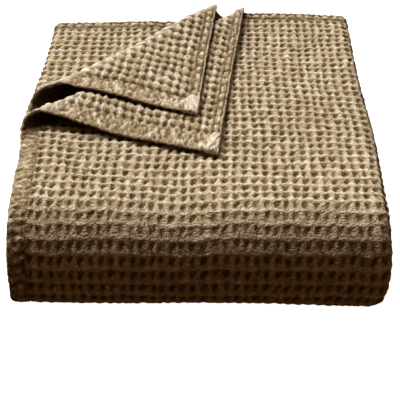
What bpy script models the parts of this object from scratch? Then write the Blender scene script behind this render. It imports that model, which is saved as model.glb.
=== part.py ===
"""Waffle-woven cotton blanket, folded in quarters both ways, with two corners turned over.

The blanket is one sheet. It is folded in quarters across its width, which lays four plies on
each other, and that strip is folded in quarters along its length, which makes four bands of
four plies: sixteen layers. Both folds go round their middle, so the front is one big round
fold and the right side shows the folds of the plies. The sheet's two free corners meet at the
back on the left, in the top ply and the one under it, and both are turned over together: the
lower ply's corner goes round the upper one's and lies on it.

Metres, +Z up. X runs along the front, Y to the back, and the origin is under the middle.
"""

import math

import bmesh
import bpy
from mathutils import Vector

# The folded blanket
WIDTH = 0.400
DEPTH = 0.566
HEIGHT = 0.125
CLOTH = 0.0045
HEM_WIDTH = 0.020
HEM_STEP = 0.003
HEM_TURN = 0.0009
PLIES = 4
BANDS = 4
PITCH = (HEIGHT - CLOTH) / (PLIES * BANDS - 1)

# Sides of the stack, and how far each end of the cloth stays inside them
LEFT = -WIDTH / 2
RIGHT = WIDTH / 2
FRONT = -DEPTH / 2
BACK = DEPTH / 2
MIDDLE = HEIGHT / 2
LOWER_HEM_INSET = 0.002
LEFT_BEND_INSET = -0.004
LOWER_END_INSET = 0.007

# Centres of the bends: crosswise in X, and lengthwise in Y
RIGHT_CENTRE = RIGHT - 1.5 * PITCH - CLOTH / 2
LEFT_CENTRE = LEFT + LEFT_BEND_INSET + PITCH / 2 + CLOTH / 2
FRONT_CENTRE = FRONT + MIDDLE
BACK_CENTRE = BACK - (PLIES - 0.5) * PITCH - CLOTH / 2

# The sheet's path across its width, from the top ply's hem to the second ply's hem.
# A run goes straight at a height. A bend is a half turn about a centre at a height, on the
# right (1) or the left (-1), from above its centre (1) or from under it (-1). Heights and
# radii are in pitches. The face column says whether the cloth's outer face looks up in a
# run, or away from the centre in a bend.
CROSSWISE = (
    # kind, from, to, height, radius, side, starts, face, steps
    ("run", LEFT, RIGHT_CENTRE, 3.5, 0.0, 0, 0, 1, 8),
    ("bend", RIGHT_CENTRE, RIGHT_CENTRE, 2.0, 1.5, 1, 1, 1, 6),
    ("run", RIGHT_CENTRE, LEFT_CENTRE, 0.5, 0.0, 0, 0, -1, 5),
    ("bend", LEFT_CENTRE, LEFT_CENTRE, 1.0, 0.5, -1, -1, 1, 4),
    ("run", LEFT_CENTRE, RIGHT_CENTRE, 1.5, 0.0, 0, 0, 1, 5),
    ("bend", RIGHT_CENTRE, RIGHT_CENTRE, 2.0, 0.5, 1, -1, -1, 4),
    ("run", RIGHT_CENTRE, LEFT + LOWER_HEM_INSET, 2.5, 0.0, 0, 0, -1, 7),
)

# The strip's path along its length, from the top band's end to the second band's end. Its
# heights are of the strip's lower side, counted from the middle of the stack.
LENGTHWISE = (
    # kind, from, to, height, radius, side, starts, face, steps
    ("run", BACK, FRONT_CENTRE, 4.0, 0.0, 0, 0, 1, 9),
    ("bend", FRONT_CENTRE, FRONT_CENTRE, 0.0, 4.0, -1, 1, 1, 11),
    ("run", FRONT_CENTRE, BACK_CENTRE, -4.0, 0.0, 0, 0, -1, 5),
    ("bend", BACK_CENTRE, BACK_CENTRE, -4.0, 0.0, 1, -1, 1, 6),
    ("run", BACK_CENTRE, FRONT_CENTRE, -4.0, 0.0, 0, 0, 1, 5),
    ("bend", FRONT_CENTRE, FRONT_CENTRE, 0.0, 4.0, -1, -1, -1, 7),
    ("run", FRONT_CENTRE, BACK - LOWER_END_INSET, 4.0, 0.0, 0, 0, -1, 5),
)
TOP_PLY = MIDDLE + 7.5 * PITCH

# The two turned-over corners: where each fold line starts on the left hem and ends on the
# back hem, where the corner comes to lie, and the radius of the bend at both ends.
CORNERS = {
    # ply: start y, end x, tip x, tip y, radius at start, radius at end, cuts across the flap
    "upper": (-0.098, 0.061, 0.021, -0.139, 0.0095, 0.0050, (0.12, 0.26, 0.42, 0.7)),
    "lower": (-0.046, 0.034, -0.003, -0.058, 0.0, 0.0, (0.15, 0.35, 0.65)),
}
FLAP_REST = 0.0068
FLAP_SETTLES = 0.50
BEND_CUTS = 5
CORNER_REACH_X = 0.13
CORNER_REACH_Y = -0.11


class FoldPath:
    """A path of runs and bends. Middle is the height above its line of what takes up its length."""

    def __init__(self, segments, middle):
        self.segments = segments
        self.lengths = [self.segment_length(segment, middle) for segment in segments]
        self.length = sum(self.lengths)

    @staticmethod
    def segment_length(segment, middle):
        kind, begin, end, _height, radius, _side, _starts, face, _steps = segment
        if kind == "run":
            return abs(end - begin)
        return math.pi * (radius + face * middle) * PITCH

    def stations(self):
        """Distances along the path at which the sheet has an edge."""
        found = [0.0]
        for segment, length in zip(self.segments, self.lengths):
            steps = segment[-1]
            begin = found[-1]
            found += [begin + length * (i + 1) / steps for i in range(steps)]
        hem_edges = [HEM_WIDTH, HEM_WIDTH + HEM_STEP]
        hem_edges += [self.length - edge for edge in hem_edges]
        return sorted(found + hem_edges)

    def at(self, distance, offset):
        """The point at a distance, moved off the path by an offset towards its outer face."""
        for segment, length in zip(self.segments, self.lengths):
            if distance <= length + 1e-7:
                break
            distance -= length
        kind, begin, end, height, radius, side, starts, face, _steps = segment
        part = min(max(distance / length, 0.0), 1.0)
        if kind == "run":
            return begin + (end - begin) * part, height * PITCH + face * offset
        reach = radius * PITCH + face * offset
        turn = math.pi * part
        across = begin + side * reach * math.sin(turn)
        return across, height * PITCH + starts * reach * math.cos(turn)


ACROSS = FoldPath(CROSSWISE, middle=0)
ALONG = FoldPath(LENGTHWISE, middle=PLIES / 2)
TOP_RUN = ACROSS.lengths[0]
TOP_BAND = ALONG.lengths[0]
LOWER_RUN_START = ACROSS.length - ACROSS.lengths[-1]


def smooth(value):
    value = min(max(value, 0.0), 1.0)
    return value * value * (3 - 2 * value)


class Corner:
    """A corner of one ply, turned over a fold line and laid down on the stack."""

    def __init__(self, name, hem, level, below=None):
        start_y, end_x, tip_x, tip_y, radius_a, radius_b, self.cuts = CORNERS[name]
        self.a = Vector((hem, start_y))
        self.b = Vector((end_x, BACK))
        self.corner = Vector((hem, BACK))
        self.line = (self.b - self.a).normalized()
        self.out = Vector((-self.line.y, self.line.x))
        self.span = (self.b - self.a).length
        self.level = level
        self.below = below
        self.radii = (radius_a, radius_b)
        if below:
            self.radii = tuple((below.height(p) + FLAP_REST + PITCH) / 2 for p in (self.a, self.b))
        place, beyond = self.place(self.corner)
        self.reach = beyond - math.pi * self.radius(place)
        self.inward = Vector((tip_x, tip_y)) - self.foot(place)

    def place(self, point):
        """How far along the fold line a point lies, from 0 to 1, and how far beyond it."""
        relative = point - self.a
        return relative.dot(self.line) / self.span, relative.dot(self.out)

    def foot(self, place):
        return self.a + self.line * (place * self.span)

    def radius(self, place):
        place = min(max(place, 0.0), 1.0)
        return self.radii[0] + (self.radii[1] - self.radii[0]) * place

    def height(self, point):
        """Height of the turned-over ply above the top ply, at a point of the stack."""
        place, beyond = self.place(point)
        depth = max(-beyond, 0.0) / -self.inward.dot(self.out)
        drop = smooth(depth / FLAP_SETTLES)
        return FLAP_REST + (2 * self.radius(place) - FLAP_REST) * (1 - drop)

    def folded(self, point, offset):
        """Where a point of the flat ply goes, with an offset that is upwards before the fold."""
        place, beyond = self.place(point)
        radius = self.radius(place)
        foot = self.foot(place)
        if beyond < math.pi * radius:
            turn = beyond / radius
            lies = foot + self.out * ((radius - offset) * math.sin(turn))
            if self.below:
                radius = (self.below.height(foot) + FLAP_REST + PITCH) / 2
            rise = radius * (1 - math.cos(turn)) + offset * math.cos(turn)
            return lies, self.level + rise
        lies = foot + self.inward * ((beyond - math.pi * radius) / self.reach)
        if self.below:
            return lies, TOP_PLY + self.below.height(lies) + FLAP_REST - offset
        return lies, TOP_PLY + self.height(lies) - offset

    def cut_lines(self):
        """Straight lines across the flat ply where the turned-over corner bends."""
        for i in range(BEND_CUTS + 1):
            turn = math.pi * i / BEND_CUTS
            yield (
                self.a + self.out * (turn * self.radii[0]),
                self.b + self.out * (turn * self.radii[1]),
            )
        place, beyond = self.place(self.corner)
        for cut in self.cuts:
            yield tuple(
                end + self.out * (math.pi * radius + cut * self.reach)
                for end, radius in zip((self.a, self.b), self.radii)
            )


UPPER_CORNER = Corner("upper", LEFT, TOP_PLY)
LOWER_CORNER = Corner("lower", LEFT + LOWER_HEM_INSET, TOP_PLY - PITCH, UPPER_CORNER)

# How the stack has settled: long soft swells of its top, lifts along its back edge, and
# sides that wander a little
SWELLS = (
    # height, waves along x, waves along y, shift
    (0.0016, 1.3, 0.7, 0.4),
    (0.0012, -0.8, 1.6, 2.1),
    (0.0008, 2.3, 1.9, 4.0),
)
BACK_LIFTS = (
    # height, place along the back edge, spread
    (0.004, 0.10, 0.09),
    (0.006, -0.13, 0.12),
)
WANDERS = {
    # side: how far it wanders, waves along the stack, shift
    "hems": (0.0022, 1.43, 0.0),
    "right": (0.0015, 1.75, 0.0),
    "front": (0.0018, 1.27, 0.8),
}
LEFT_SWELL = 0.017
LEFT_SWELL_FROM = -0.16
LEFT_SWELL_LENGTH = 0.17
ROUND_CORNER = 0.012
ROUND_CORNER_REACH = 0.030
RIGHT_BELLY = 0.0045
RIGHT_BELLY_AT = 0.6
RIGHT_BELLY_FADES = 0.6
RIGHT_FOOT = 0.009
FRONT_BELLY = 0.007
FRONT_BELLY_AT = 0.22
FRONT_BELLY_SPREAD = 0.16
PLY_SHIFT = 6.0
LAYER_SHIFT = 3.0


def wander(side, place, shift=0.0):
    reach, waves, start = WANDERS[side]
    return reach * math.sin(2 * math.pi * waves * place + start + shift)


def settled(point, across):
    """The place of a point once the stack has settled. Layers never cross, and z = 0 stays flat."""
    x, y, z = point
    share = z / HEIGHT
    from_right = (RIGHT - x) / WIDTH
    from_left = 1 - from_right
    from_back = (BACK - y) / DEPTH
    swell = sum(
        height * math.sin(2 * math.pi * (fx * x / WIDTH + fy * y / DEPTH) + shift)
        for height, fx, fy, shift in SWELLS
    )
    lift = sum(
        height * math.exp(-((x - at) ** 2 + (y - BACK) ** 2) / spread**2)
        for height, at, spread in BACK_LIFTS
    )
    z += swell * share**2 + lift * share**4
    left_swell = LEFT_SWELL * smooth((y - LEFT_SWELL_FROM) / LEFT_SWELL_LENGTH)
    x -= left_swell * share**2 * from_right**4
    x += wander("hems", y / DEPTH, PLY_SHIFT * across) * from_right**3
    x += wander("right", y / DEPTH, LAYER_SHIFT * share) * from_left**3
    bulge = RIGHT_BELLY * (1 - ((share - RIGHT_BELLY_AT) / RIGHT_BELLY_AT) ** 2)
    bulge -= RIGHT_FOOT * (1 - share) ** 3
    x += bulge * smooth(from_back / RIGHT_BELLY_FADES) * from_left**4
    near_left = smooth(1 - (x - LEFT) / ROUND_CORNER_REACH)
    near_back = smooth(1 - (BACK - y) / ROUND_CORNER_REACH)
    y -= ROUND_CORNER * near_left * near_back * share**2
    y += wander("front", x / WIDTH) * from_back**4
    belly = math.exp(-(((share - FRONT_BELLY_AT) / FRONT_BELLY_SPREAD) ** 2))
    y -= FRONT_BELLY * belly * from_back**6
    return Vector((x, y, z))


def face_offset(across, length, outer):
    """How far a face is from the middle of the cloth. The hem is turned to the under face."""
    if outer:
        return CLOTH / 2
    edge = min(across, ACROSS.length - across, length, ALONG.length - length)
    if edge < HEM_WIDTH + HEM_STEP / 2:
        return -CLOTH / 2 - HEM_TURN
    return -CLOTH / 2


def placed(across, length, offset):
    """The place in the folded stack of a point of the flat sheet."""
    x, ply_height = ACROSS.at(across, offset)
    y, height = ALONG.at(length, ply_height)
    point = (x, y, MIDDLE + height)
    if length < TOP_BAND:
        flat = Vector((x, y))
        corner = None
        if across <= TOP_RUN:
            corner = UPPER_CORNER
        elif across >= LOWER_RUN_START:
            corner = LOWER_CORNER
            offset = -offset
        if corner and corner.place(flat)[1] > 0:
            lies, height = corner.folded(flat, offset)
            point = (lies.x, lies.y, height)
    return settled(point, across)


def flat_sheet():
    """The sheet before folding, as a closed slab one unit high, with x across and y along it."""
    slab = bmesh.new()
    columns = ACROSS.stations()
    rows = ALONG.stations()
    points = [[[slab.verts.new((x, y, z)) for y in rows] for x in columns] for z in (0, 1)]
    under, outer = points
    for i in range(len(columns) - 1):
        for j in range(len(rows) - 1):
            slab.faces.new((outer[i][j], outer[i + 1][j], outer[i + 1][j + 1], outer[i][j + 1]))
            slab.faces.new((under[i][j], under[i][j + 1], under[i + 1][j + 1], under[i + 1][j]))
    last_column = len(columns) - 1
    last_row = len(rows) - 1
    rim = [(i, 0) for i in range(last_column)]
    rim += [(last_column, j) for j in range(last_row)]
    rim += [(i, last_row) for i in range(last_column, 0, -1)]
    rim += [(0, j) for j in range(last_row, 0, -1)]
    for (i, j), (k, m) in zip(rim, rim[1:] + rim[:1]):
        slab.faces.new((under[i][j], under[k][m], outer[k][m], outer[i][j]))
    return slab


def cut_corner(slab, corner, to_sheet, in_corner):
    """Cuts the slab along the lines where a corner bends."""
    for ends in corner.cut_lines():
        begin, end = (to_sheet(point) for point in ends)
        direction = (end - begin).normalized()
        faces = [face for face in slab.faces if all(in_corner(vert.co) for vert in face.verts)]
        edges = {edge for face in faces for edge in face.edges}
        verts = {vert for face in faces for vert in face.verts}
        bmesh.ops.bisect_plane(
            slab,
            geom=[*verts, *edges, *faces],
            dist=1e-5,
            plane_co=(begin.x, begin.y, 0),
            plane_no=(-direction.y, direction.x, 0),
        )


def blanket_mesh():
    slab = flat_sheet()
    reach_y = BACK - CORNER_REACH_Y
    reach_x = CORNER_REACH_X - LEFT
    cut_corner(
        slab,
        UPPER_CORNER,
        lambda point: Vector((point.x - LEFT, BACK - point.y)),
        lambda co: co.x < reach_x and co.y < reach_y,
    )
    hem = LEFT + LOWER_HEM_INSET
    cut_corner(
        slab,
        LOWER_CORNER,
        lambda point: Vector((ACROSS.length - (point.x - hem), BACK - point.y)),
        lambda co: co.x > ACROSS.length - reach_x and co.y < reach_y,
    )
    bmesh.ops.triangulate(slab, faces=slab.faces[:])
    for vert in slab.verts:
        across, length, side = vert.co
        vert.co = placed(across, length, face_offset(across, length, side > 0.5))
    lowest, highest = (
        Vector([pick(vert.co[axis] for vert in slab.verts) for axis in range(3)])
        for pick in (min, max)
    )
    middle = (lowest + highest) / 2
    bmesh.ops.translate(slab, verts=slab.verts[:], vec=(-middle.x, -middle.y, -lowest.z))
    bmesh.ops.recalc_face_normals(slab, faces=slab.faces[:])
    if slab.calc_volume(signed=True) < 0:
        bmesh.ops.reverse_faces(slab, faces=slab.faces[:])
    mesh = bpy.data.meshes.new("waffle_blanket")
    slab.to_mesh(mesh)
    slab.free()
    mesh.shade_smooth()
    mesh.set_sharp_from_angle(angle=math.radians(50))
    return mesh


def waffle_cotton():
    """Undyed tan cotton, with no shine."""
    material = bpy.data.materials.new("waffle cotton")
    material.use_nodes = True
    shader = material.node_tree.nodes["Principled BSDF"]
    shader.inputs["Base Color"].default_value = (0.36, 0.25, 0.13, 1)
    shader.inputs["Roughness"].default_value = 0.95
    shader.inputs["Metallic"].default_value = 0.0
    return material


for old in list(bpy.data.objects):
    bpy.data.objects.remove(old, do_unlink=True)

blanket = bpy.data.objects.new("waffle_blanket", blanket_mesh())
blanket.data.materials.append(waffle_cotton())
bpy.context.scene.collection.objects.link(blanket)
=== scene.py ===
import math

import bpy
import numpy as np
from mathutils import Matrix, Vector


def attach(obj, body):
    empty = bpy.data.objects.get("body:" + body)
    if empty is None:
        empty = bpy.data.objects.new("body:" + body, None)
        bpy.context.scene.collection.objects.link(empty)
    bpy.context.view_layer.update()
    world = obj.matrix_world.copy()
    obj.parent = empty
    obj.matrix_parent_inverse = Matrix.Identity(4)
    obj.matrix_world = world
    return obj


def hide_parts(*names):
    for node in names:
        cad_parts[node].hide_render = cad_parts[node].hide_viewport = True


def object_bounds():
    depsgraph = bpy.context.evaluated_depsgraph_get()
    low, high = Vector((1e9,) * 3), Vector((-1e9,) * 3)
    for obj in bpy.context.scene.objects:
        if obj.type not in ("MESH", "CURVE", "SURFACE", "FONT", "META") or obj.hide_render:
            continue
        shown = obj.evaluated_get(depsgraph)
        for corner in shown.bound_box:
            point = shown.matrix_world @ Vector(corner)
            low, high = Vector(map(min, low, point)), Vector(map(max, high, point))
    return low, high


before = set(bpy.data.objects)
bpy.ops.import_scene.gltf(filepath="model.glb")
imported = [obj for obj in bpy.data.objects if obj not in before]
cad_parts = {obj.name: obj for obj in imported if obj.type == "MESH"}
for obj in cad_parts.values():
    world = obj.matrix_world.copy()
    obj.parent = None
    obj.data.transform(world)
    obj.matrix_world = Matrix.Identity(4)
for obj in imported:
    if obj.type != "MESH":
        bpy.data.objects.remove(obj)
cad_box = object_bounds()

# The sheet
# The blanket is one sheet of cotton, woven in deep cells, shrunk and dried until it is
# thick, with its four edges turned in and stitched. It is folded in quarters across its width
# and then in quarters along its length. Below, a place on the flat sheet is (across, length).

WIDTH = 0.400
DEPTH = 0.566
HEIGHT = 0.125
CLOTH = 0.0045
HEM = 0.020
HEM_TURN = 0.0009
PLIES = 4
BANDS = 4
PITCH = (HEIGHT - CLOTH) / (PLIES * BANDS - 1)

LEFT = -WIDTH / 2
RIGHT = WIDTH / 2
FRONT = -DEPTH / 2
BACK = DEPTH / 2
MIDDLE = HEIGHT / 2
LOWER_HEM_INSET = 0.002
LEFT_BEND_INSET = -0.004
LOWER_END_INSET = 0.007
RIGHT_CENTRE = RIGHT - 1.5 * PITCH - CLOTH / 2
LEFT_CENTRE = LEFT + LEFT_BEND_INSET + PITCH / 2 + CLOTH / 2
FRONT_CENTRE = FRONT + MIDDLE
BACK_CENTRE = BACK - (PLIES - 0.5) * PITCH - CLOTH / 2

# How the sheet runs, from its first edge to its last: kind, from, to, height and radius in
# pitches, side of a bend, whether it starts above its centre, and where the outer face looks.
CROSSWISE = (
    ("run", LEFT, RIGHT_CENTRE, 3.5, 0.0, 0, 0, 1),
    ("bend", RIGHT_CENTRE, RIGHT_CENTRE, 2.0, 1.5, 1, 1, 1),
    ("run", RIGHT_CENTRE, LEFT_CENTRE, 0.5, 0.0, 0, 0, -1),
    ("bend", LEFT_CENTRE, LEFT_CENTRE, 1.0, 0.5, -1, -1, 1),
    ("run", LEFT_CENTRE, RIGHT_CENTRE, 1.5, 0.0, 0, 0, 1),
    ("bend", RIGHT_CENTRE, RIGHT_CENTRE, 2.0, 0.5, 1, -1, -1),
    ("run", RIGHT_CENTRE, LEFT + LOWER_HEM_INSET, 2.5, 0.0, 0, 0, -1),
)
LENGTHWISE = (
    ("run", BACK, FRONT_CENTRE, 4.0, 0.0, 0, 0, 1),
    ("bend", FRONT_CENTRE, FRONT_CENTRE, 0.0, 4.0, -1, 1, 1),
    ("run", FRONT_CENTRE, BACK_CENTRE, -4.0, 0.0, 0, 0, -1),
    ("bend", BACK_CENTRE, BACK_CENTRE, -4.0, 0.0, 1, -1, 1),
    ("run", BACK_CENTRE, FRONT_CENTRE, -4.0, 0.0, 0, 0, 1),
    ("bend", FRONT_CENTRE, FRONT_CENTRE, 0.0, 4.0, -1, -1, -1),
    ("run", FRONT_CENTRE, BACK - LOWER_END_INSET, 4.0, 0.0, 0, 0, -1),
)
# Cloth taken up by each segment. Lengthwise bends are measured round their outermost ply. Both
# heights are in the strip of four plies, in pitches: the outermost ply's, and the middle of
# the other three.
OUTER_PLY = PLIES - 0.5


def cloth_lengths(path, ply):
    for kind, begin, end, _height, radius, _side, _starts, _face in path:
        yield abs(end - begin) if kind == "run" else math.pi * PITCH * (radius + ply)


ACROSS_LENGTHS = list(cloth_lengths(CROSSWISE, 0.0))
ALONG_LENGTHS = list(cloth_lengths(LENGTHWISE, OUTER_PLY))
SHEET_WIDTH = sum(ACROSS_LENGTHS)
SHEET_LENGTH = sum(ALONG_LENGTHS)
TOP_BAND = ALONG_LENGTHS[0]
TOP_RUN = ACROSS_LENGTHS[0]
LOWER_RUN_START = SHEET_WIDTH - ACROSS_LENGTHS[-1]
TOP_PLY = MIDDLE + (PLIES * BANDS - 1) / 2 * PITCH


def along(path, lengths, distance, offset):
    """Where a path is at distances along it, moved off it towards the cloth's outer face."""
    level = np.zeros_like(offset)
    place = np.zeros_like(offset)
    start = 0.0
    for (kind, begin, end, height, radius, side, starts, face), length in zip(path, lengths):
        part = np.clip((distance - start) / length, 0, 1)
        if kind == "run":
            x = begin + (end - begin) * part
            z = height * PITCH + face * offset
        else:
            reach = radius * PITCH + face * offset
            x = begin + side * reach * np.sin(math.pi * part)
            z = height * PITCH + starts * reach * np.cos(math.pi * part)
        here = distance >= start - 1e-9
        place = np.where(here, x, place)
        level = np.where(here, z, level)
        start += length
    return place, level


def smooth(value):
    value = np.clip(value, 0, 1)
    return value * value * (3 - 2 * value)


# A turned-over corner comes down from its bend to this height over the ply below it, by this
# share of its length.
FLAP_REST = 0.0068
FLAP_SETTLES = 0.50


class TurnedCorner:
    """A corner of one ply, turned over a fold line and laid down on the stack."""

    def __init__(self, hem, start_y, end_x, tip, radii, below=None):
        self.a = np.array((hem, start_y))
        self.b = np.array((end_x, BACK))
        run = self.b - self.a
        self.span = math.hypot(*run)
        self.line = run / self.span
        self.out = np.array((-self.line[1], self.line[0]))
        self.below = below
        self.level = TOP_PLY - (PITCH if below else 0)
        self.radii = radii
        if below:
            self.radii = [
                (float(below.height(p[0], p[1])) + FLAP_REST + PITCH) / 2 for p in (self.a, self.b)
            ]
        share, beyond = self.place(hem, BACK)
        self.reach = beyond - math.pi * self.radius(share)
        self.inward = np.array(tip) - np.array(self.foot(share))

    def place(self, x, y):
        """How far along the fold line a point is, from 0 to 1, and how far beyond it."""
        from_x = x - self.a[0]
        from_y = y - self.a[1]
        share = (from_x * self.line[0] + from_y * self.line[1]) / self.span
        return share, from_x * self.out[0] + from_y * self.out[1]

    def foot(self, share):
        distance = share * self.span
        return self.a[0] + self.line[0] * distance, self.a[1] + self.line[1] * distance

    def radius(self, share):
        return self.radii[0] + (self.radii[1] - self.radii[0]) * np.clip(share, 0, 1)

    def height(self, x, y):
        """Height of the turned-over ply above the top ply."""
        share, beyond = self.place(x, y)
        depth = np.maximum(-beyond, 0) / -(self.inward @ self.out)
        drop = smooth(depth / FLAP_SETTLES)
        return FLAP_REST + (2 * self.radius(share) - FLAP_REST) * (1 - drop)

    def folded(self, x, y, offset):
        """Where points of the flat ply go, with an offset that is upwards before the fold."""
        share, beyond = self.place(x, y)
        radius = self.radius(share)
        foot_x, foot_y = self.foot(share)
        turn = np.clip(beyond / radius, 0, math.pi)
        swing = (radius - offset) * np.sin(turn)
        rises = radius
        if self.below:
            rises = (self.below.height(foot_x, foot_y) + FLAP_REST + PITCH) / 2
        bend_z = self.level + rises * (1 - np.cos(turn)) + offset * np.cos(turn)
        depth = np.maximum(beyond - math.pi * radius, 0) / self.reach
        flap_x = foot_x + self.inward[0] * depth
        flap_y = foot_y + self.inward[1] * depth
        flap_z = TOP_PLY + self.height(flap_x, flap_y) - offset
        if self.below:
            flap_z = TOP_PLY + self.below.height(flap_x, flap_y) + FLAP_REST - offset
        bends = depth <= 0
        return (
            np.where(bends, foot_x + self.out[0] * swing, flap_x),
            np.where(bends, foot_y + self.out[1] * swing, flap_y),
            np.where(bends, bend_z, flap_z),
        )


UPPER_CORNER = TurnedCorner(
    LEFT, start_y=-0.098, end_x=0.061, tip=(0.021, -0.139), radii=(0.0095, 0.0050)
)
LOWER_CORNER = TurnedCorner(
    LEFT + LOWER_HEM_INSET,
    start_y=-0.046,
    end_x=0.034,
    tip=(-0.003, -0.058),
    radii=None,
    below=UPPER_CORNER,
)

# How the stack has settled: long soft swells of its top, lifts along its back edge, and
# sides that wander a little
SWELLS = (
    # height, waves across, waves along, where they start
    (0.0016, 1.3, 0.7, 0.4),
    (0.0012, -0.8, 1.6, 2.1),
    (0.0008, 2.3, 1.9, 4.0),
)
BACK_LIFTS = (
    # height, where along the back edge, spread
    (0.004, 0.10, 0.09),
    (0.006, -0.13, 0.12),
)
WANDERS = {
    # side: reach, waves, where they start
    "hems": (0.0022, 1.43, 0.0),
    "right": (0.0015, 1.75, 0.0),
    "front": (0.0018, 1.27, 0.8),
}
LEFT_SWELL = 0.017
LEFT_SWELL_FROM = -0.16
LEFT_SWELL_LENGTH = 0.17
ROUND_CORNER = 0.012
ROUND_CORNER_REACH = 0.030
RIGHT_BELLY = 0.0045
RIGHT_BELLY_AT = 0.6
RIGHT_BELLY_FADES = 0.6
RIGHT_FOOT = 0.009
FRONT_BELLY = 0.007
FRONT_BELLY_AT = 0.22
FRONT_BELLY_SPREAD = 0.16
PLY_SHIFT = 6.0
LAYER_SHIFT = 3.0


def wander(side, place, shift=0.0):
    reach, waves, start = WANDERS[side]
    return reach * np.sin(2 * math.pi * waves * place + start + shift)


def settled(x, y, z, across):
    """The place of points once the stack has settled."""
    share = z / HEIGHT
    in_round = (1 - (x - LEFT) / ROUND_CORNER).clip(0, 1)
    from_right = np.maximum((RIGHT - x) / WIDTH, 0)
    from_left = np.maximum(1 - from_right, 0)
    from_back = np.maximum((BACK - y) / DEPTH, 0)
    swell = sum(
        height * np.sin(2 * math.pi * (fx * x / WIDTH + fy * y / DEPTH) + shift)
        for height, fx, fy, shift in SWELLS
    )
    lift = sum(
        height * np.exp(-((x - at) ** 2 + (y - BACK) ** 2) / spread**2)
        for height, at, spread in BACK_LIFTS
    )
    z = z + swell * share**2 + lift * share**4
    left_swell = LEFT_SWELL * smooth((y - LEFT_SWELL_FROM) / LEFT_SWELL_LENGTH)
    x = x - left_swell * share**2 * from_right**4
    x = x + wander("hems", y / DEPTH, PLY_SHIFT * across) * from_right**3
    x = x + wander("right", y / DEPTH, LAYER_SHIFT * share) * from_left**3
    bulge = RIGHT_BELLY * (1 - ((share - RIGHT_BELLY_AT) / RIGHT_BELLY_AT) ** 2)
    bulge = bulge - RIGHT_FOOT * (1 - share) ** 3
    x = x + bulge * smooth(from_back / RIGHT_BELLY_FADES) * from_left**4
    near_back = smooth(1 - (BACK - y) / ROUND_CORNER_REACH)
    rounding = ROUND_CORNER * (1 - np.sqrt(1 - in_round**2))
    y = y - rounding * near_back * share**2
    y = y + wander("front", x / WIDTH) * from_back**4
    belly = np.exp(-(((share - FRONT_BELLY_AT) / FRONT_BELLY_SPREAD) ** 2))
    y = y - FRONT_BELLY * belly * from_back**6
    return x, y, z


def placed(across, length, offset):
    """Where points of the flat sheet are in the folded stack."""
    x, ply_height = along(CROSSWISE, ACROSS_LENGTHS, across, offset)
    y, height = along(LENGTHWISE, ALONG_LENGTHS, length, ply_height)
    z = MIDDLE + height
    for corner, in_ply, way in (
        (UPPER_CORNER, across <= TOP_RUN, 1),
        (LOWER_CORNER, across >= LOWER_RUN_START, -1),
    ):
        turned = in_ply & (length < TOP_BAND) & (corner.place(x, y)[1] > 0)
        over = corner.folded(x, y, way * offset)
        x = np.where(turned, over[0], x)
        y = np.where(turned, over[1], y)
        z = np.where(turned, over[2], z)
    return settled(x, y, z, across)


# The solid is centred on the origin, so the cloth moves by what brings its box there.
every_across, every_length = np.meshgrid(
    np.linspace(0, SHEET_WIDTH, 400), np.linspace(0, SHEET_LENGTH, 900), indexing="ij"
)
reached = [
    placed(every_across, every_length, side * CLOTH / 2 + 0 * every_across) for side in (-1, 1)
]
SHIFT_X, SHIFT_Y = (
    (cad_box[0][axis] + cad_box[1][axis]) / 2
    - (min(r[axis].min() for r in reached) + max(r[axis].max() for r in reached)) / 2
    for axis in (0, 1)
)

# The weave: puffed pillars side by side in rows, each row with a thin raised crest behind it,
# and between the pillars a pit that narrows towards the front, with a tuft hanging into it
CELL = 0.0107
ROW = 0.0158
WEAVE_DEPTH = 0.0037
PILLAR = 0.58
PILLAR_PUFF = 0.13
CREST = 0.30
CREST_WIDTH = 0.11
CREST_DIP = 0.45
PIT = 0.62
PIT_AT = 0.43
PIT_LENGTH = 0.35
PIT_WIDTH = 0.28
PIT_NARROWS = 0.35
PIT_LEAN = 0.40
PIT_SOFT = 0.95
PIT_STRAYS = 0.07
PIT_STRAYS_ALONG = 0.05
PIT_WIDTH_VARIES = 0.22
PIT_LEAN_VARIES = 0.6
TUFT = 0.85
TUFT_AT = 0.02
TUFT_STRAYS = 0.12
TUFT_WIDTH = 0.11
TUFT_FROM = 0.20
TUFT_LENGTH = 0.20
CREST_WAVE = 0.05
CREST_STRAYS = 0.10
KNOB = 0.95
KNOB_TOP = 0.22
KNOB_FALL = 1.15
KNOB_ROUND = 0.72
KNOB_SQUARE = 0.60
KNOB_FUZZ = 0.26
KNOB_HEIGHT = 0.92
KNOB_SHARE = 0.80
FUZZ = 0.15
LUMPS = 0.07
CELLS_PULLED = 0.13
CELLS_PULLED_ALONG = 0.09
PATCHES_PULLED = 0.20
PATCHES_PULLED_ALONG = 0.18
CRESTS_BOWED = 0.05
PULL_FROM_HEM = 0.02


def cloth_noise(u, v, seed):
    """Soft noise from -1 to 1 with one random value at each whole place."""
    table = np.random.default_rng(seed).uniform(-1, 1, (256, 256))
    i = np.floor(u).astype(int)
    j = np.floor(v).astype(int)
    su = smooth(u - i)
    sv = smooth(v - j)
    corner = [[table[(i + a) % 256, (j + b) % 256] for b in (0, 1)] for a in (0, 1)]
    near = corner[0][0] + (corner[1][0] - corner[0][0]) * su
    far = corner[0][1] + (corner[1][1] - corner[0][1]) * su
    return near + (far - near) * sv


def from_edge(across, length):
    return (
        np.minimum(across, SHEET_WIDTH - across),
        np.minimum(length, SHEET_LENGTH - length),
    )


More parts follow.
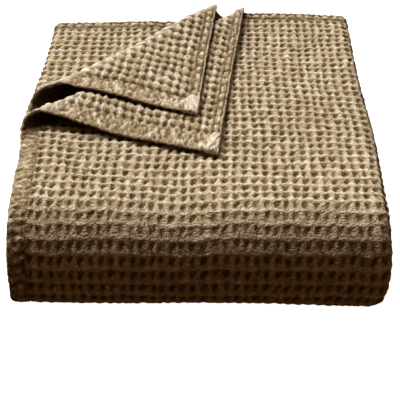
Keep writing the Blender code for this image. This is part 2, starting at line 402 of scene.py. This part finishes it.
def woven(across, length, slack):
    """Height of the weave from 0 in a pit to 1 on a crest, and how the cells are pulled about.

    Where the cloth lies slack its cells close up to round knobs."""
    u = (across - HEM) / CELL
    v = (length - HEM) / ROW
    cell_u = np.floor(u)
    cell_v = np.floor(v)
    below = v - cell_v
    lean = PIT_LEAN * (1 + PIT_LEAN_VARIES * cloth_noise(cell_u, cell_v, 14))
    beside = u - cell_u - 0.5 + PIT_STRAYS * cloth_noise(cell_u, cell_v, 1)
    beside = beside + lean * (below - PIT_AT)
    pillar = np.abs(2 * (u - cell_u) - 1)
    waved = v + CREST_WAVE * np.cos(2 * math.pi * u)
    waved = waved + CREST_STRAYS * cloth_noise(u * 1.4, v * 0.6, 16)
    to_crest = np.abs(waved - np.round(waved))
    down = (below - PIT_AT - PIT_STRAYS_ALONG * cloth_noise(cell_u, cell_v, 2)) / PIT_LENGTH
    half_width = PIT_WIDTH * (1 - PIT_NARROWS * down).clip(0.3, 2)
    half_width = half_width * (1 + PIT_WIDTH_VARIES * cloth_noise(cell_u, cell_v, 3))
    round_pit = (np.abs(beside) / half_width) ** 2.2 + np.abs(down) ** 2.4
    pit = smooth((1.2 - round_pit) / PIT_SOFT) * (0.9 + 0.25 * cloth_noise(cell_u, cell_v, 4))
    tuft_at = TUFT_AT + TUFT_STRAYS * cloth_noise(cell_u, cell_v, 5)
    off_tuft = ((beside - tuft_at) / TUFT_WIDTH) ** 2
    tuft = np.exp(-off_tuft - ((below - TUFT_FROM) / TUFT_LENGTH) ** 2)
    pit = pit * (1 - TUFT * tuft * (0.75 + 0.5 * cloth_noise(cell_u, cell_v, 6)))
    crest = np.exp(-((to_crest / CREST_WIDTH) ** 2)) * (1 - CREST_DIP * (1 - pillar) ** 1.5)
    height = PILLAR + PILLAR_PUFF * pillar + CREST * crest - PIT * pit
    from_knob = KNOB_ROUND * ((1 - pillar) ** 2 + (2 * to_crest) ** 2)
    from_knob = from_knob + KNOB_SQUARE * ((1 - pillar) * 2 * to_crest) ** 1.5
    knob = 1 - KNOB * smooth((from_knob - KNOB_TOP) / KNOB_FALL)
    knob = knob + KNOB_FUZZ * cloth_noise(u * 2.3, v * 2.9, 15)
    height = height + (KNOB_HEIGHT * knob - height) * slack * KNOB_SHARE
    height += FUZZ * cloth_noise(u * 3.1, v * 3.7, 12) + LUMPS * cloth_noise(u, v, 13)
    pull = smooth((np.minimum(*from_edge(across, length)) - HEM) / PULL_FROM_HEM)
    shift_u = CELLS_PULLED * cloth_noise(u * 0.9, v * 0.8, 7)
    shift_u = shift_u + PATCHES_PULLED * cloth_noise(u / 4, v / 4, 8)
    shift_v = CELLS_PULLED_ALONG * cloth_noise(u * 0.7, v * 0.9, 9)
    shift_v = shift_v + PATCHES_PULLED_ALONG * cloth_noise(u / 5, v / 5, 10)
    shift_v += CRESTS_BOWED * (1 - pillar) * (1 - below)
    return height.clip(0, 1.05), shift_u * CELL * pull, shift_v * ROW * pull


# The hem: two turns of the weave, stitched down. At the sheet's ends they draw into a row of
# wide blocks and a row of beads, and along its sides the weave's ribs go on through them.
BEAD = 0.0056
STITCH_AT = 0.0178
HEM_DEPTH = 0.0030
HEM_BLOCK = 0.0120
HEM_RIB = 0.0102
HEM_GRAIN = 0.0046
BLOCK_STRAYS = 0.16
BEAD_EDGE_STRAYS = 0.0008
BEAD_TOP = 0.92
BEAD_DIP = 0.55
BLOCK_DIP = 0.95
INSIDE_STITCH = 0.6
HEM_LOWEST = 0.08
RIB_SLANTS = 0.35
RIB_STRAYS = 0.30
RIB_TOP = 0.86
RIB_DEPTH = 0.50
GROOVE_WIDTH = 0.0012
GROOVE_DEPTH = 0.22
TIP_ACROSS = 0.025
TIP_ALONG = 0.026
TIP_WEAR = 0.060


def end_hem(edge, beat):
    """Height of the hem at the sheet's ends from 0 to 1, by its edge and the place along it."""
    beat = beat + BLOCK_STRAYS * cloth_noise(beat * 1.3, edge / 0.006, 22)
    edge = edge + BEAD_EDGE_STRAYS * cloth_noise(beat * 2.1, 0 * edge, 23)
    bead = np.clip(1 - ((edge - BEAD / 2) / (BEAD / 2)) ** 2, 0, 1) ** 0.6
    middle = (BEAD + STITCH_AT) / 2
    half = (STITCH_AT - BEAD) / 2
    lobe = np.clip(1 - np.abs((edge - middle) / half) ** 2.4, 0, 1) ** 0.7
    block = np.abs(2 * (beat - np.floor(beat)) - 1)
    knob = 1.5 * beat + 0.3
    knob = np.abs(2 * (knob - np.floor(knob)) - 1)
    bead = bead * (BEAD_TOP - BEAD_DIP * knob**2.5)
    lobe = lobe * (1 - BLOCK_DIP * block**3)
    after = smooth((edge - STITCH_AT) / (HEM - STITCH_AT)) * INSIDE_STITCH
    return HEM_LOWEST + (1 - HEM_LOWEST) * np.maximum(np.maximum(bead, lobe), after)


def side_hem(edge, run, slack):
    """Height of the hem along the sheet's sides, which the weave's ribs cross."""
    beat = run / HEM_RIB + RIB_SLANTS * edge / HEM_RIB
    beat = beat + RIB_STRAYS * cloth_noise(run / 0.013, edge / 0.007, 24)
    rib = np.abs(2 * (beat - np.floor(beat)) - 1)
    groove = np.exp(-(((edge - STITCH_AT) / GROOVE_WIDTH) ** 2))
    ribbed = RIB_TOP - RIB_DEPTH * (1 - 0.6 * slack) * rib**2.2
    return ribbed - GROOVE_DEPTH * groove - 0.08 * slack


# The crown is this far round a turned-over corner's bend, in radians, and the painted highlight
# along it is this wide.
BEND_CROWN = 2.85
BEND_HIGHLIGHT_WIDTH = 0.0060


def bend_highlight(across, length):
    """Painted highlight: 1 on the crown of a turned-over corner's bend."""
    worn_and_highlit = 0
    for corner, x in (
        (UPPER_CORNER, LEFT + across),
        (LOWER_CORNER, LEFT + LOWER_HEM_INSET + SHEET_WIDTH - across),
    ):
        share, beyond = corner.place(x, BACK - length)
        rises = corner.radius(share)
        near = np.exp(-(((beyond - BEND_CROWN * rises) / BEND_HIGHLIGHT_WIDTH) ** 2))
        worn_and_highlit = worn_and_highlit + near * (x < corner.b[0]) * (length < TOP_BAND)
    return worn_and_highlit


# Over the shoulder of the front fold the cloth is stretched, and its cells are drawn flatter.
FRONT_BEND_END = TOP_BAND + ALONG_LENGTHS[1]
SHOULDER = TOP_BAND + 0.052
STRETCHES = 0.032
STRETCHED = 0.66
FRONT_STRETCHED = 0.55
STRETCH_SHARE = 0.44

# Along the seam the cloth dips. The hem has a fine grain, and its mitred tips are creased.
SEAM_DIP = 0.40
SEAM_DIP_WIDTH = 0.0020
FINE_GRAIN = 0.0027
GRAIN_AT_END = 0.30
GRAIN_AT_SIDE = 0.34
GRAIN_WHERE_SLACK = 0.18
GRAIN_FROM = 0.002
TIP_RAGGED = 0.004
TIP_RAGGED_LENGTH = 0.009
TIP_SIZE = 1.12
TIP_FADE = 0.24
TIP_HEIGHT = 0.85
TIP_SHARE = 0.9
TIP_THICKER = 0.0014
CREASE_DEPTH = 0.55
CREASE_WIDTH = 0.0036
CREASE_LENGTH = 0.013
MITRE_SLOPE = 0.8
MITRE_STRAYS = 0.002
MITRE_STRAYS_LENGTH = 0.006
MITRE_DEPTH = 0.60
MITRE_WIDTH = 0.0016

# The sheet's rim is round, and its edge is drawn in between the stitches.
RIM_ROUND = 0.0022
RIM_THICKNESS = 0.12
DRAWN_IN = 0.0007
DRAWN_REACH = 0.003
STITCH_LENGTH = 0.0055
RIM_SHOWN = 0.003

# The hem's tone goes with its height, which paints shade in its hollows and highlight on its tops,
# and the slack cloth of the turned-over corners is painted a little darker, as painted shade.
HEM_TONE = 0.10
HEM_TONE_RISE = 0.70
SLACK_TONE = 0.10

# How pale the cloth is: worn pale at the tips and hems, with painted shade in the tips' creases, and
# a painted highlight on the bends of the turned-over corners
TIP_PALE = 0.62
CREASE_PALE = 0.30
BEND_HIGHLIGHT_PALE = 0.30
BEND_CROWNS_HIGHLIGHT_PALE = 0.46
WORN_HEM_PALE = 0.40


def cloth_face(across, length, outer, shown, slack, seen):
    """Points of one face, with how high and how pale the cloth is there."""
    height, shift_across, shift_length = woven(across, length, slack)
    near_across, near_length = from_edge(across, length)
    edge = np.minimum(near_across, near_length)
    height = height - SEAM_DIP * np.exp(-(((edge - HEM) / SEAM_DIP_WIDTH) ** 2))
    stretched = np.exp(-(((length - SHOULDER) / STRETCHES) ** 2))
    stretched = np.where(length > SHOULDER, np.maximum(stretched, FRONT_STRETCHED), stretched)
    height = height + (STRETCHED - height) * STRETCH_SHARE * stretched
    in_across = near_across < HEM
    in_length = near_length < HEM
    at_end = end_hem(near_length, (across - HEM) / HEM_BLOCK + 0.5)
    hem = np.where(in_length, at_end, side_hem(near_across, length, slack))
    grain = cloth_noise(across / HEM_GRAIN, length / HEM_GRAIN, 20)
    grain = grain + 0.5 * cloth_noise(across / FINE_GRAIN, length / FINE_GRAIN, 25)
    grain_depth = np.where(in_length, GRAIN_AT_END, GRAIN_AT_SIDE + GRAIN_WHERE_SLACK * slack)
    hem = hem + grain_depth * grain * (edge > GRAIN_FROM)
    ragged = cloth_noise(across / TIP_RAGGED_LENGTH, length / TIP_RAGGED_LENGTH, 26)
    ragged = TIP_RAGGED * ragged
    from_tip = ((near_across / TIP_ACROSS) ** 3 + (near_length / TIP_ALONG) ** 3) ** (1 / 3)
    tip = smooth((TIP_SIZE - from_tip + ragged / TIP_ALONG) / TIP_FADE)
    crease = cloth_noise((across + length) / CREASE_WIDTH, (across - length) / CREASE_LENGTH, 21)
    crease = CREASE_DEPTH * crease
    strays = cloth_noise(across / MITRE_STRAYS_LENGTH, length / MITRE_STRAYS_LENGTH, 27)
    mitre = near_across - MITRE_SLOPE * near_length + MITRE_STRAYS * strays
    crease = crease - MITRE_DEPTH * np.exp(-((mitre / MITRE_WIDTH) ** 2))
    hem = hem + (TIP_HEIGHT + crease - hem) * tip * TIP_SHARE
    rounded = np.sqrt(np.clip(1 - (1 - edge / RIM_ROUND).clip(0, 1) ** 2, 0.0, 1))
    in_hem = in_across | in_length
    cell_relief = (height - 1) * WEAVE_DEPTH * shown
    hem_relief = (hem - 1) * HEM_DEPTH
    thick = CLOTH / 2 + np.where(in_hem, hem_relief, cell_relief)
    thick = thick + TIP_THICKER * tip
    if not outer:
        thick = thick + np.where(in_hem, HEM_TURN, 0)
    thick = thick * (RIM_THICKNESS + (1 - RIM_THICKNESS) * rounded)
    offset = thick if outer else -thick
    drawn = DRAWN_IN * np.exp(-edge / DRAWN_REACH)
    drawn_across = drawn * (1 + cloth_noise(length / STITCH_LENGTH, 0 * length, 29))
    drawn_length = drawn * (1 + cloth_noise(across / STITCH_LENGTH, 0 * across, 30))
    shift_across = shift_across + drawn_across * np.where(across < SHEET_WIDTH / 2, 1, -1)
    shift_length = shift_length + drawn_length * np.where(length < SHEET_LENGTH / 2, 1, -1)
    x, y, z = placed(across + shift_across, length + shift_length, offset)
    worn_hem = np.exp(-(((near_across + near_length) / TIP_WEAR) ** 2)) * in_hem
    # Where a face doesn't show, inside a fold or between plies, seen is 0 and its tone and paleness
    # go to nought: painted shade in the darkest colour. Near the rim the colour is kept.
    seen = np.maximum(seen, np.exp(-((edge / RIM_SHOWN) ** 2)))
    crowns = np.where(in_hem, hem, height).clip(0, 1)
    # Tone follows the height of the weave and the hem: painted shade in the pits and hollows,
    # painted highlight on the crests. Slack cloth is painted darker, as painted shade.
    tone = np.where(in_hem, HEM_TONE + HEM_TONE_RISE * hem, height - SLACK_TONE * slack) * seen
    # The tips are worn pale, with painted shade in their creases and mitre.
    pale = (TIP_PALE + CREASE_PALE * crease) * tip
    # Painted highlight along the crowns of the turned-over corners' bends
    pale = pale + bend_highlight(across, length) * (BEND_HIGHLIGHT_PALE + BEND_CROWNS_HIGHLIGHT_PALE * crowns**2)
    pale = pale + WORN_HEM_PALE * worn_hem * crowns**3 * (1 - tip)
    return np.stack((x + SHIFT_X, y + SHIFT_Y, z), -1), tone, (pale * seen).clip(0, 1)


# Lines on the flat sheet that the mesh follows: closer at the crests, and across the hem
HEM_LINES = np.array(
    [0, 0.35, 1.0, 2.2, 3.6, 4.8, 5.6, 6.4, 7.6, 9.0, 10.4, 11.8, 13.2, 14.6, 16.0, 17.0, 18.0, 19.0]
) / 1000
COLUMN_STEPS = (0.0, 0.14, 0.27, 0.38, 0.50, 0.62, 0.73, 0.86)
ROW_STEPS = (0.0, 0.08, 0.17, 0.29, 0.42, 0.55, 0.69, 0.85)
PLAIN_STEPS = (0.0, 0.25, 0.5, 0.75)

# A hidden face takes one line in three and is nearly flat. A line closer to the end than the
# least gap is left out, and lines further apart than the weave's gap draw no weave.
HIDDEN_STRIDE = 3
HIDDEN_FLAT = 0.85
LEAST_GAP = 0.0004
WEAVE_GAP = 0.0065
SLACK_REACH = 0.012


def weave_lines(begin, end, repeat, steps):
    """Lines between two places on the flat sheet that follow the weave's crests."""
    first = math.floor((begin - HEM) / repeat)
    last = math.ceil((end - HEM) / repeat)
    lines = [HEM + (k + step) * repeat for k in range(first, last + 1) for step in steps]
    return [line for line in lines if begin - 1e-6 <= line < end - LEAST_GAP] + [end]


def crest_line(place, repeat):
    """The crest or pillar nearest to a place."""
    return HEM + round((place - HEM) / repeat) * repeat


def line_shown(lines):
    """1 where lines are close enough to draw the weave, and 0 in the plain hidden stretches."""
    gap = np.diff(lines)
    widest = np.maximum(np.append(gap, 0), np.append(0, gap))
    return (widest < WEAVE_GAP).astype(float)


def hidden_lines(lines):
    """A few of the lines, for a face that doesn't show."""
    return np.array(sorted({*range(0, len(lines), HIDDEN_STRIDE), len(lines) - 1}))


def grid_quads(index):
    quad = (index[:-1, :-1], index[1:, :-1], index[1:, 1:], index[:-1, 1:])
    return np.stack(quad, -1).reshape(-1, 4)


def rim_of(index):
    """The four sides of a grid, each from one corner to the next."""
    return index[:, 0], index[-1, :], index[::-1, -1], index[0, ::-1]


def lies_slack(across, length):
    """1 where a corner is turned over and its cloth lies slack."""
    y = BACK - length
    upper = UPPER_CORNER.place(LEFT + across, y)[1]
    lower = LOWER_CORNER.place(LEFT + LOWER_HEM_INSET + SHEET_WIDTH - across, y)[1]
    return smooth(np.maximum(upper, lower) / SLACK_REACH) * (length < TOP_BAND)


def cloth_piece(name, across_lines, length_lines, under_shown=None):
    """A closed piece of the sheet between lines across and along it, folded into its place."""
    across_lines = np.array(across_lines)
    length_lines = np.array(length_lines)
    across, length = np.meshgrid(across_lines, length_lines, indexing="ij")
    fine = np.minimum.outer(line_shown(across_lines), line_shown(length_lines))
    turned = np.zeros_like(across) if under_shown is None else under_shown(across, length)
    slack = lies_slack(across, length)
    # The outer face is painted in the darkest colour where it turns under, inside the fold, and the
    # under face where it is hidden: painted shade.
    outer = cloth_face(across, length, True, fine * (1 - HIDDEN_FLAT * turned), slack, 1 - turned)
    under = cloth_face(across, length, False, fine * turned, slack, turned)
    columns, rows = across.shape
    picked = (np.arange(columns), np.arange(rows))
    if under_shown is None:
        picked = (hidden_lines(across_lines), hidden_lines(length_lines))
    pick = np.ix_(*picked)
    faces = [[layer.reshape(across.size, -1) for layer in outer]]
    faces.append([layer[pick].reshape(len(picked[0]) * len(picked[1]), -1) for layer in under])
    outer_index = np.arange(across.size).reshape(columns, rows)
    under_index = across.size + np.arange(len(faces[1][0])).reshape(across[pick].shape)
    polygons = [*grid_quads(outer_index).tolist(), *grid_quads(under_index)[:, ::-1].tolist()]
    sides = zip(rim_of(outer_index), rim_of(under_index), (*picked, *picked), (0, 0, 1, 1))
    for outer_side, under_side, at, backwards in sides:
        if backwards:
            at = (at[-1] - at)[::-1]
        for k in range(len(under_side) - 1):
            fine_part = outer_side[at[k] : at[k + 1] + 1]
            polygons.append([under_side[k], under_side[k + 1], *fine_part[::-1]])
    mesh = bpy.data.meshes.new(name)
    mesh.vertices.add(across.size + len(faces[1][0]))
    points = np.concatenate([face[0] for face in faces])
    mesh.vertices.foreach_set("co", points.astype(np.float32).ravel())
    corners = np.array([corner for polygon in polygons for corner in polygon], dtype=np.int32)
    sizes = np.array([len(polygon) for polygon in polygons])
    mesh.loops.add(len(corners))
    mesh.loops.foreach_set("vertex_index", corners)
    mesh.polygons.add(len(polygons))
    starts = np.concatenate(([0], np.cumsum(sizes)[:-1]))
    mesh.polygons.foreach_set("loop_start", starts.astype(np.int32))
    mesh.update(calc_edges=True)
    mesh.validate()
    flat = np.stack((across, length, 0 * across), -1)
    flat = np.concatenate((flat.reshape(-1, 3), flat[pick].reshape(-1, 3) + (0, 0, 1)))
    place = mesh.attributes.new("flat_place", "FLOAT_VECTOR", "POINT")
    place.data.foreach_set("vector", flat.astype(np.float32).ravel())
    for attribute, layer in (("tone", 1), ("pale", 2)):
        values = np.concatenate([face[layer].ravel() for face in faces])
        found = mesh.attributes.new(attribute, "FLOAT", "POINT")
        found.data.foreach_set("value", values.astype(np.float32))
    mesh.shade_smooth()
    piece = bpy.data.objects.new(name, mesh)
    bpy.context.scene.collection.objects.link(piece)
    piece.data.materials.append(waffle_cotton)
    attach(piece, "root")
    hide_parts("waffle_blanket")


def linear(hex_colour):
    """A colour written as sRGB hex, in the linear values that the shader takes."""
    parts = [int(hex_colour[i : i + 2], 16) / 255 for i in (1, 3, 5)]
    return [p / 12.92 if p <= 0.04045 else ((p + 0.055) / 1.055) ** 2.4 for p in parts] + [1.0]


def add_node(tree, kind, settings=(), links=()):
    """Adds a node, gives it its settings, and links its inputs to other nodes' outputs."""
    node = tree.nodes.new(kind)
    for name, value in dict(settings).items():
        if isinstance(name, int) or name in node.inputs:
            node.inputs[name].default_value = value
        else:
            setattr(node, name, value)
    for socket, source in dict(links).items():
        tree.links.new(source, node.inputs[socket])
    return node


# Waffle-woven cotton, dyed tan. Its colour is painted paler on the crests, as painted highlight, and
# darker in the pits and inside the folds, as painted shade, and the soft yarn gives it no gloss,
# only a faint nap. Real yarn and nap are finer than a pixel here, so both are drawn as coarse as
# they need to show.
STRAND = 0.0042
STRAND_DEPTH = 0.0026
STRAND_TONE = 0.75
NAP = 0.0021
NAP_DEPTH = 0.0014
NAP_TONE = 0.45
TONE_LOWERED = 0.60

waffle_cotton = bpy.data.materials.new("waffle-woven cotton")
waffle_cotton.use_nodes = True
tree = waffle_cotton.node_tree
shader = tree.nodes["Principled BSDF"]
shader.inputs["Roughness"].default_value = 0.95
shader.inputs["Specular IOR Level"].default_value = 0.10
shader.inputs["Sheen Weight"].default_value = 0.08
shader.inputs["Sheen Roughness"].default_value = 0.6
flat_place = add_node(tree, "ShaderNodeAttribute", {"attribute_name": "flat_place"})
tone = add_node(tree, "ShaderNodeAttribute", {"attribute_name": "tone"})
pale = add_node(tree, "ShaderNodeAttribute", {"attribute_name": "pale"})
place = flat_place.outputs["Vector"]
fuzz = add_node(tree, "ShaderNodeTexNoise", {"Scale": 1 / NAP, "Detail": 2.0}, {"Vector": place})
strands = add_node(
    tree,
    "ShaderNodeTexNoise",
    {"Scale": 1 / STRAND, "Detail": 3.0, "Roughness": 0.6, "Distortion": 0.5},
    {"Vector": place},
)
uneven = add_node(
    tree,
    "ShaderNodeMath",
    {"operation": "MULTIPLY_ADD", 1: STRAND_TONE},
    {0: strands.outputs["Fac"], 2: tone.outputs["Fac"]},
)
fuzzy = add_node(
    tree,
    "ShaderNodeMath",
    {"operation": "MULTIPLY_ADD", 1: NAP_TONE},
    {0: fuzz.outputs["Fac"], 2: uneven.outputs[0]},
)
lowered = add_node(
    tree,
    "ShaderNodeMath",
    {"operation": "SUBTRACT", 1: TONE_LOWERED},
    {0: fuzzy.outputs[0]},
)
# The ramp turns tone into colour: dark brown for painted shade in the pits and folds, pale cream for
# painted highlight on the crests.
depth_colour = add_node(tree, "ShaderNodeValToRGB", (), {"Fac": lowered.outputs[0]})
ramp = depth_colour.color_ramp
while len(ramp.elements) < 4:
    ramp.elements.new(0.5)
for element, (position, colour) in zip(
    ramp.elements, ((0.0, "#55432B"), (0.36, "#867353"), (0.70, "#B6A487"), (1.0, "#E3D7C2"))
):
    element.position = position
    element.color = linear(colour)
# Mixes in the pale colour: wear at the tips and hems, and painted highlight on the bends' crowns.
worn_and_highlit = add_node(
    tree,
    "ShaderNodeMix",
    {"data_type": "RGBA", 7: linear("#E9DFCB")},
    {0: pale.outputs["Fac"], 6: depth_colour.outputs["Color"]},
)
tree.links.new(worn_and_highlit.outputs[2], shader.inputs["Base Color"])
nap_bump = add_node(
    tree,
    "ShaderNodeBump",
    {"Strength": 1.0, "Distance": NAP_DEPTH},
    {"Height": fuzz.outputs["Fac"]},
)
strand_bump = add_node(
    tree,
    "ShaderNodeBump",
    {"Strength": 1.0, "Distance": STRAND_DEPTH},
    {"Height": strands.outputs["Fac"], "Normal": nap_bump.outputs["Normal"]},
)
tree.links.new(strand_bump.outputs["Normal"], shader.inputs["Normal"])


# The top ply
# The outermost ply: it is the whole top and the round front of the stack, and its free corner
# at the back left is turned over, so that its under face and two of its hems show there.
# The under face is drawn from a little before the fold line.
UNDER_SHOWS_FROM = 0.010
UNDER_SHOWS_OVER = 0.012


def under_of_corner(across, length):
    """1 where the upper corner is turned over and its under face shows."""
    x = LEFT + across
    y = BACK - length
    return smooth((UPPER_CORNER.place(x, y)[1] + UNDER_SHOWS_FROM) / UNDER_SHOWS_OVER)


CORNER_ACROSS = crest_line(0.275, CELL)
CORNER_LENGTH = crest_line(0.392, ROW)
RIGHT_BEND_END = TOP_RUN + ACROSS_LENGTHS[1]
corner_across = [*HEM_LINES, *weave_lines(HEM, CORNER_ACROSS, CELL, COLUMN_STEPS)]
beside_corner = weave_lines(CORNER_ACROSS, RIGHT_BEND_END + 0.004, CELL, COLUMN_STEPS)
corner_length = [*HEM_LINES, *weave_lines(HEM, CORNER_LENGTH, ROW, ROW_STEPS)]
front_length = weave_lines(CORNER_LENGTH, FRONT_BEND_END + 0.006, ROW, ROW_STEPS)
cloth_piece("top_ply_corner", corner_across, corner_length, under_of_corner)
cloth_piece("top_ply_right", beside_corner, corner_length)
cloth_piece("top_ply_front", [*corner_across, *beside_corner[1:]], front_length)


# The second ply's turned-over corner
# The corner of the ply under the top one goes round the upper corner and lies on it, held by
# its weight alone. Its two hems show along its edges.
SECOND_REACH = 0.262
CORNERS_LENGTH = 0.360
SECOND_START = SHEET_WIDTH - SECOND_REACH
second_across = weave_lines(SECOND_START, SHEET_WIDTH - HEM, CELL, COLUMN_STEPS)
second_across += [SHEET_WIDTH - line for line in HEM_LINES[::-1]]
second_length = [*HEM_LINES, *weave_lines(HEM, CORNERS_LENGTH, ROW, ROW_STEPS)]
cloth_piece("second_ply_corner", second_across, second_length)


# The plies at the back
# Between the right fold and the second ply's corner the cloth runs to the left and back. Its
# third ply shows at the back left, where the two corners are turned off it.
THIRD_START = sum(ACROSS_LENGTHS[:4])
LEFT_BEND = sum(ACROSS_LENGTHS[:3])
# Neighbouring pieces of the sheet overlap by this much.
SEAM = 0.003
back_across = [
    *weave_lines(RIGHT_BEND_END - SEAM, RIGHT_BEND_END + 0.012, CELL, PLAIN_STEPS),
    *np.linspace(RIGHT_BEND_END + 0.03, LEFT_BEND - 0.03, 5),
    *weave_lines(LEFT_BEND - 0.014, THIRD_START + SECOND_REACH, CELL, COLUMN_STEPS),
    *np.linspace(THIRD_START + 0.30, SECOND_START + SEAM, 8),
]
cloth_piece("back_plies", back_across, second_length)


# The folded sides
# The inner three plies all the way along the sheet. Only their bends and hems show, at the
# sides of the stack, so the mesh is close there and plain between.
sides_across = [
    *weave_lines(RIGHT_BEND_END - SEAM, RIGHT_BEND_END + 0.012, CELL, PLAIN_STEPS),
    *np.linspace(RIGHT_BEND_END + 0.03, LEFT_BEND - 0.03, 5),
    *weave_lines(LEFT_BEND - 0.014, THIRD_START + 0.014, CELL, COLUMN_STEPS),
    *np.linspace(THIRD_START + 0.03, LOWER_RUN_START - 0.03, 5),
    *np.linspace(LOWER_RUN_START - 0.012, LOWER_RUN_START + 0.02, 6),
    *np.linspace(LOWER_RUN_START + 0.05, SHEET_WIDTH - HEM - 0.012, 5),
    SHEET_WIDTH - HEM - 0.005,
    *[SHEET_WIDTH - line for line in HEM_LINES[::-1]],
]
END_LINES = [SHEET_LENGTH - line for line in HEM_LINES[::-1]]
sides_length = [
    *weave_lines(CORNERS_LENGTH - SEAM, SHEET_LENGTH - HEM, ROW, PLAIN_STEPS),
    *END_LINES,
]
cloth_piece("folded_sides", sides_across, sides_length)


# The bottom ply and the back fold
# The outermost ply goes on under the stack, round the back fold, and inside to the sheet's
# last edge. Its hem shows at the left, and the back fold at the back.
BACK_BEND = sum(ALONG_LENGTHS[:3])
BACK_BEND_END = sum(ALONG_LENGTHS[:4])
bottom_across = [*HEM_LINES, *weave_lines(HEM, RIGHT_BEND_END + 0.004, CELL, PLAIN_STEPS)]
bottom_length = weave_lines(FRONT_BEND_END + 0.003, BACK_BEND - 0.02, ROW, PLAIN_STEPS)
cloth_piece("bottom_ply", bottom_across, bottom_length)

fold_across = [*corner_across, *beside_corner[1:]]
fold_length = weave_lines(BACK_BEND - 0.023, BACK_BEND_END + 0.030, ROW, ROW_STEPS)
cloth_piece("back_fold", fold_across, fold_length)

inner_across = [
    *HEM_LINES,
    *weave_lines(HEM, HEM + 0.012, CELL, PLAIN_STEPS),
    *np.linspace(0.05, TOP_RUN - 0.03, 7),
    *weave_lines(TOP_RUN - 0.010, RIGHT_BEND_END + 0.004, CELL, PLAIN_STEPS),
]
inner_length = [
    *weave_lines(BACK_BEND_END + 0.027, SHEET_LENGTH - HEM, ROW, PLAIN_STEPS),
    *END_LINES,
]
cloth_piece("inner_ply", inner_across, inner_length)


# Floor, light and camera
# A white table top under a wide soft light that stands behind the stack, above and to the
# left. The table is grey with light of its own, so that it looks white and still takes the
# shadow, and it is kept from throwing light up onto the front of the cloth.
floor_mesh = bpy.data.meshes.new("floor")
floor_mesh.from_pydata([(-6, -6, 0), (6, -6, 0), (6, 6, 0), (-6, 6, 0)], [], [(0, 1, 2, 3)])
floor = bpy.data.objects.new("floor", floor_mesh)
bpy.context.scene.collection.objects.link(floor)
floor.visible_diffuse = False
floor.visible_glossy = False
white_table = bpy.data.materials.new("white laminate table top")
white_table.use_nodes = True
table_shader = white_table.node_tree.nodes["Principled BSDF"]
table_shader.inputs["Base Color"].default_value = linear("#A0A0A0")
table_shader.inputs["Roughness"].default_value = 0.7
table_shader.inputs["Specular IOR Level"].default_value = 0.0
table_shader.inputs["Emission Color"].default_value = (1, 1, 1, 1)
table_shader.inputs["Emission Strength"].default_value = 0.85
floor.data.materials.append(white_table)

SUN_STRENGTH = 3.55
SUN_WIDTH = math.radians(30)
SUN_FROM = Vector((-0.42, 0.49, 0.77))
sun = bpy.data.objects.new("window light", bpy.data.lights.new("window light", "SUN"))
sun.data.energy = SUN_STRENGTH
sun.data.angle = SUN_WIDTH
sun.rotation_euler = SUN_FROM.to_track_quat("Z", "Y").to_euler()
bpy.context.scene.collection.objects.link(sun)

# The room is bright behind the stack, and warm and dim in front of it. The camera sees white.
BRIGHT_WAY = (-0.25, 0.70, 0.67)
world = bpy.data.worlds.new("studio")
world.use_nodes = True
bpy.context.scene.world = world
sky = world.node_tree
background = sky.nodes["Background"]
ways = add_node(sky, "ShaderNodeTexCoord")
behind = add_node(
    sky,
    "ShaderNodeVectorMath",
    {"operation": "DOT_PRODUCT", 1: BRIGHT_WAY},
    {0: ways.outputs["Generated"]},
)
soft = add_node(
    sky,
    "ShaderNodeMapRange",
    {"interpolation_type": "SMOOTHSTEP", "From Min": 0.15, "From Max": 1.0},
    {"Value": behind.outputs["Value"]},
)
room = add_node(sky, "ShaderNodeValToRGB", (), {"Fac": soft.outputs["Result"]})
room.color_ramp.elements.new(0.40)
for element, (position, colour) in zip(
    room.color_ramp.elements,
    (
        (0.0, (0.086, 0.045, 0.019, 1)),
        (0.40, (0.35, 0.245, 0.14, 1)),
        (1.0, (0.72, 0.74, 0.76, 1)),
    ),
):
    element.position = position
    element.color = colour
seen = add_node(sky, "ShaderNodeLightPath")
backdrop = add_node(
    sky,
    "ShaderNodeMix",
    {"data_type": "RGBA", 7: (1, 1, 1, 1)},
    {0: seen.outputs["Is Camera Ray"], 6: room.outputs["Color"]},
)
sky.links.new(backdrop.outputs[2], background.inputs["Color"])

PITCH_DOWN = math.radians(31.0)
YAW = math.radians(1.19)
LENS_MM = 107.7
CAMERA_X = 0.0248
CAMERA_Y = -1.3068
CAMERA_ABOVE = 0.6466
ahead = Vector((-math.sin(YAW), math.cos(YAW), 0))
looks = ahead * math.cos(PITCH_DOWN) - Vector((0, 0, math.sin(PITCH_DOWN)))
camera = bpy.data.objects.new("camera", bpy.data.cameras.new("camera"))
camera.data.lens = LENS_MM
camera.data.sensor_width = 36.0
camera.location = (CAMERA_X + SHIFT_X, CAMERA_Y + SHIFT_Y, HEIGHT + CAMERA_ABOVE)
camera.rotation_euler = looks.to_track_quat("-Z", "Y").to_euler()
bpy.context.scene.collection.objects.link(camera)
bpy.context.scene.camera = camera
bpy.context.scene.view_settings.view_transform = "Standard"
bpy.context.scene.view_settings.look = "Medium High Contrast"

bpy.context.view_layer.update()
